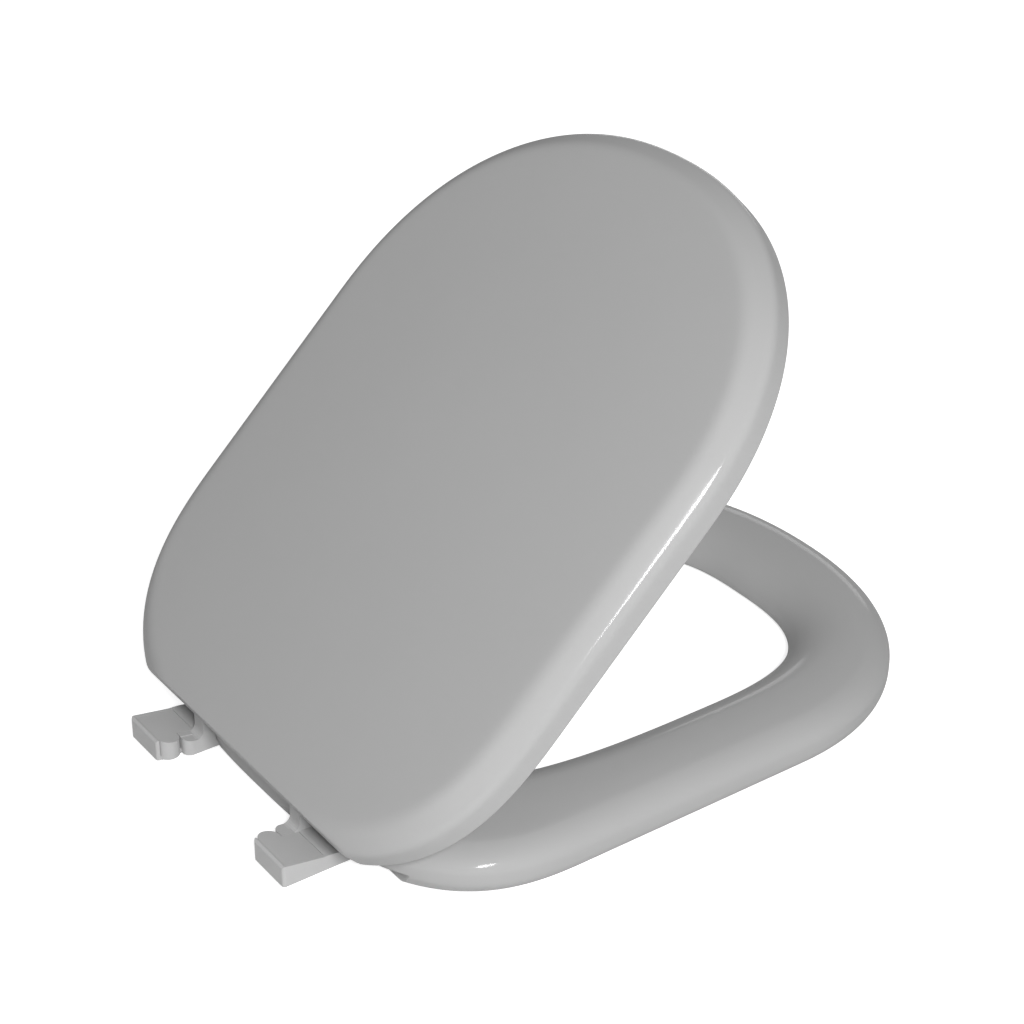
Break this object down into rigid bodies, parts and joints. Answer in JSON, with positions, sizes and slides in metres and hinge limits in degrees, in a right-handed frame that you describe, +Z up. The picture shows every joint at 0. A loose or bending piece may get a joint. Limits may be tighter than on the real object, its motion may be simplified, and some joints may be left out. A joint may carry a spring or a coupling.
{
  "type": "padded toilet seat",
  "caption": "Padded toilet seat with a D-shaped ring and a domed lid, covered in grey vinyl, hinged on moulded feet and drawn with the lid half open.",
  "frame": {"origin": "midway between the two fixing holes, on the rim plane that the foot pads and the seat's buffers rest on", "axes": "+X across the seat to its right as seen from above with the front towards -Y, +Y to the rear behind the hinge, +Z up"},
  "size_m": [0.3584, 0.4755, 0.3399],
  "materials": {
    "vinyl": "smooth satin vinyl",
    "foam": "matte open foam",
    "board": "matte moulded board",
    "moulding": "smooth moulded plastic",
    "rubber": "matte rubber",
    "steel": "plain steel"
  },
  "bodies": {
    "hinge_feet": {"hinge_foot_left": "moulding", "hinge_foot_right": "moulding", "foot_cap_left": "moulding", "foot_cap_right": "moulding", "foot_pad_left": "rubber", "foot_pad_right": "rubber", "hinge_pin_left": "steel", "hinge_pin_right": "steel"},
    "seat": {"seat_cover": "vinyl", "seat_foam": "foam", "seat_base": "board", "seat_hinge_left": "moulding", "seat_hinge_right": "moulding", "seat_hinge_screws": "steel", "seat_buffers": "rubber"},
    "lid": {"lid_cover": "vinyl", "lid_foam": "foam", "lid_base": "board", "lid_hinge_left": "moulding", "lid_hinge_right": "moulding", "lid_hinge_screws": "steel", "lid_buffers": "rubber"}
  },
  "joints": [
    {"name": "seat_hinge", "type": "hinge", "parent": "hinge_feet", "child": "seat", "pos_m": [0, -0.0235, 0.022], "axis": [-1, 0, 0], "range_deg": [0, 30]},
    {"name": "lid_hinge", "type": "hinge", "parent": "seat", "child": "lid", "pos_m": [0, -0.0235, 0.022], "axis": [-1, 0, 0], "range_deg": [-44, 21]}
  ]
}
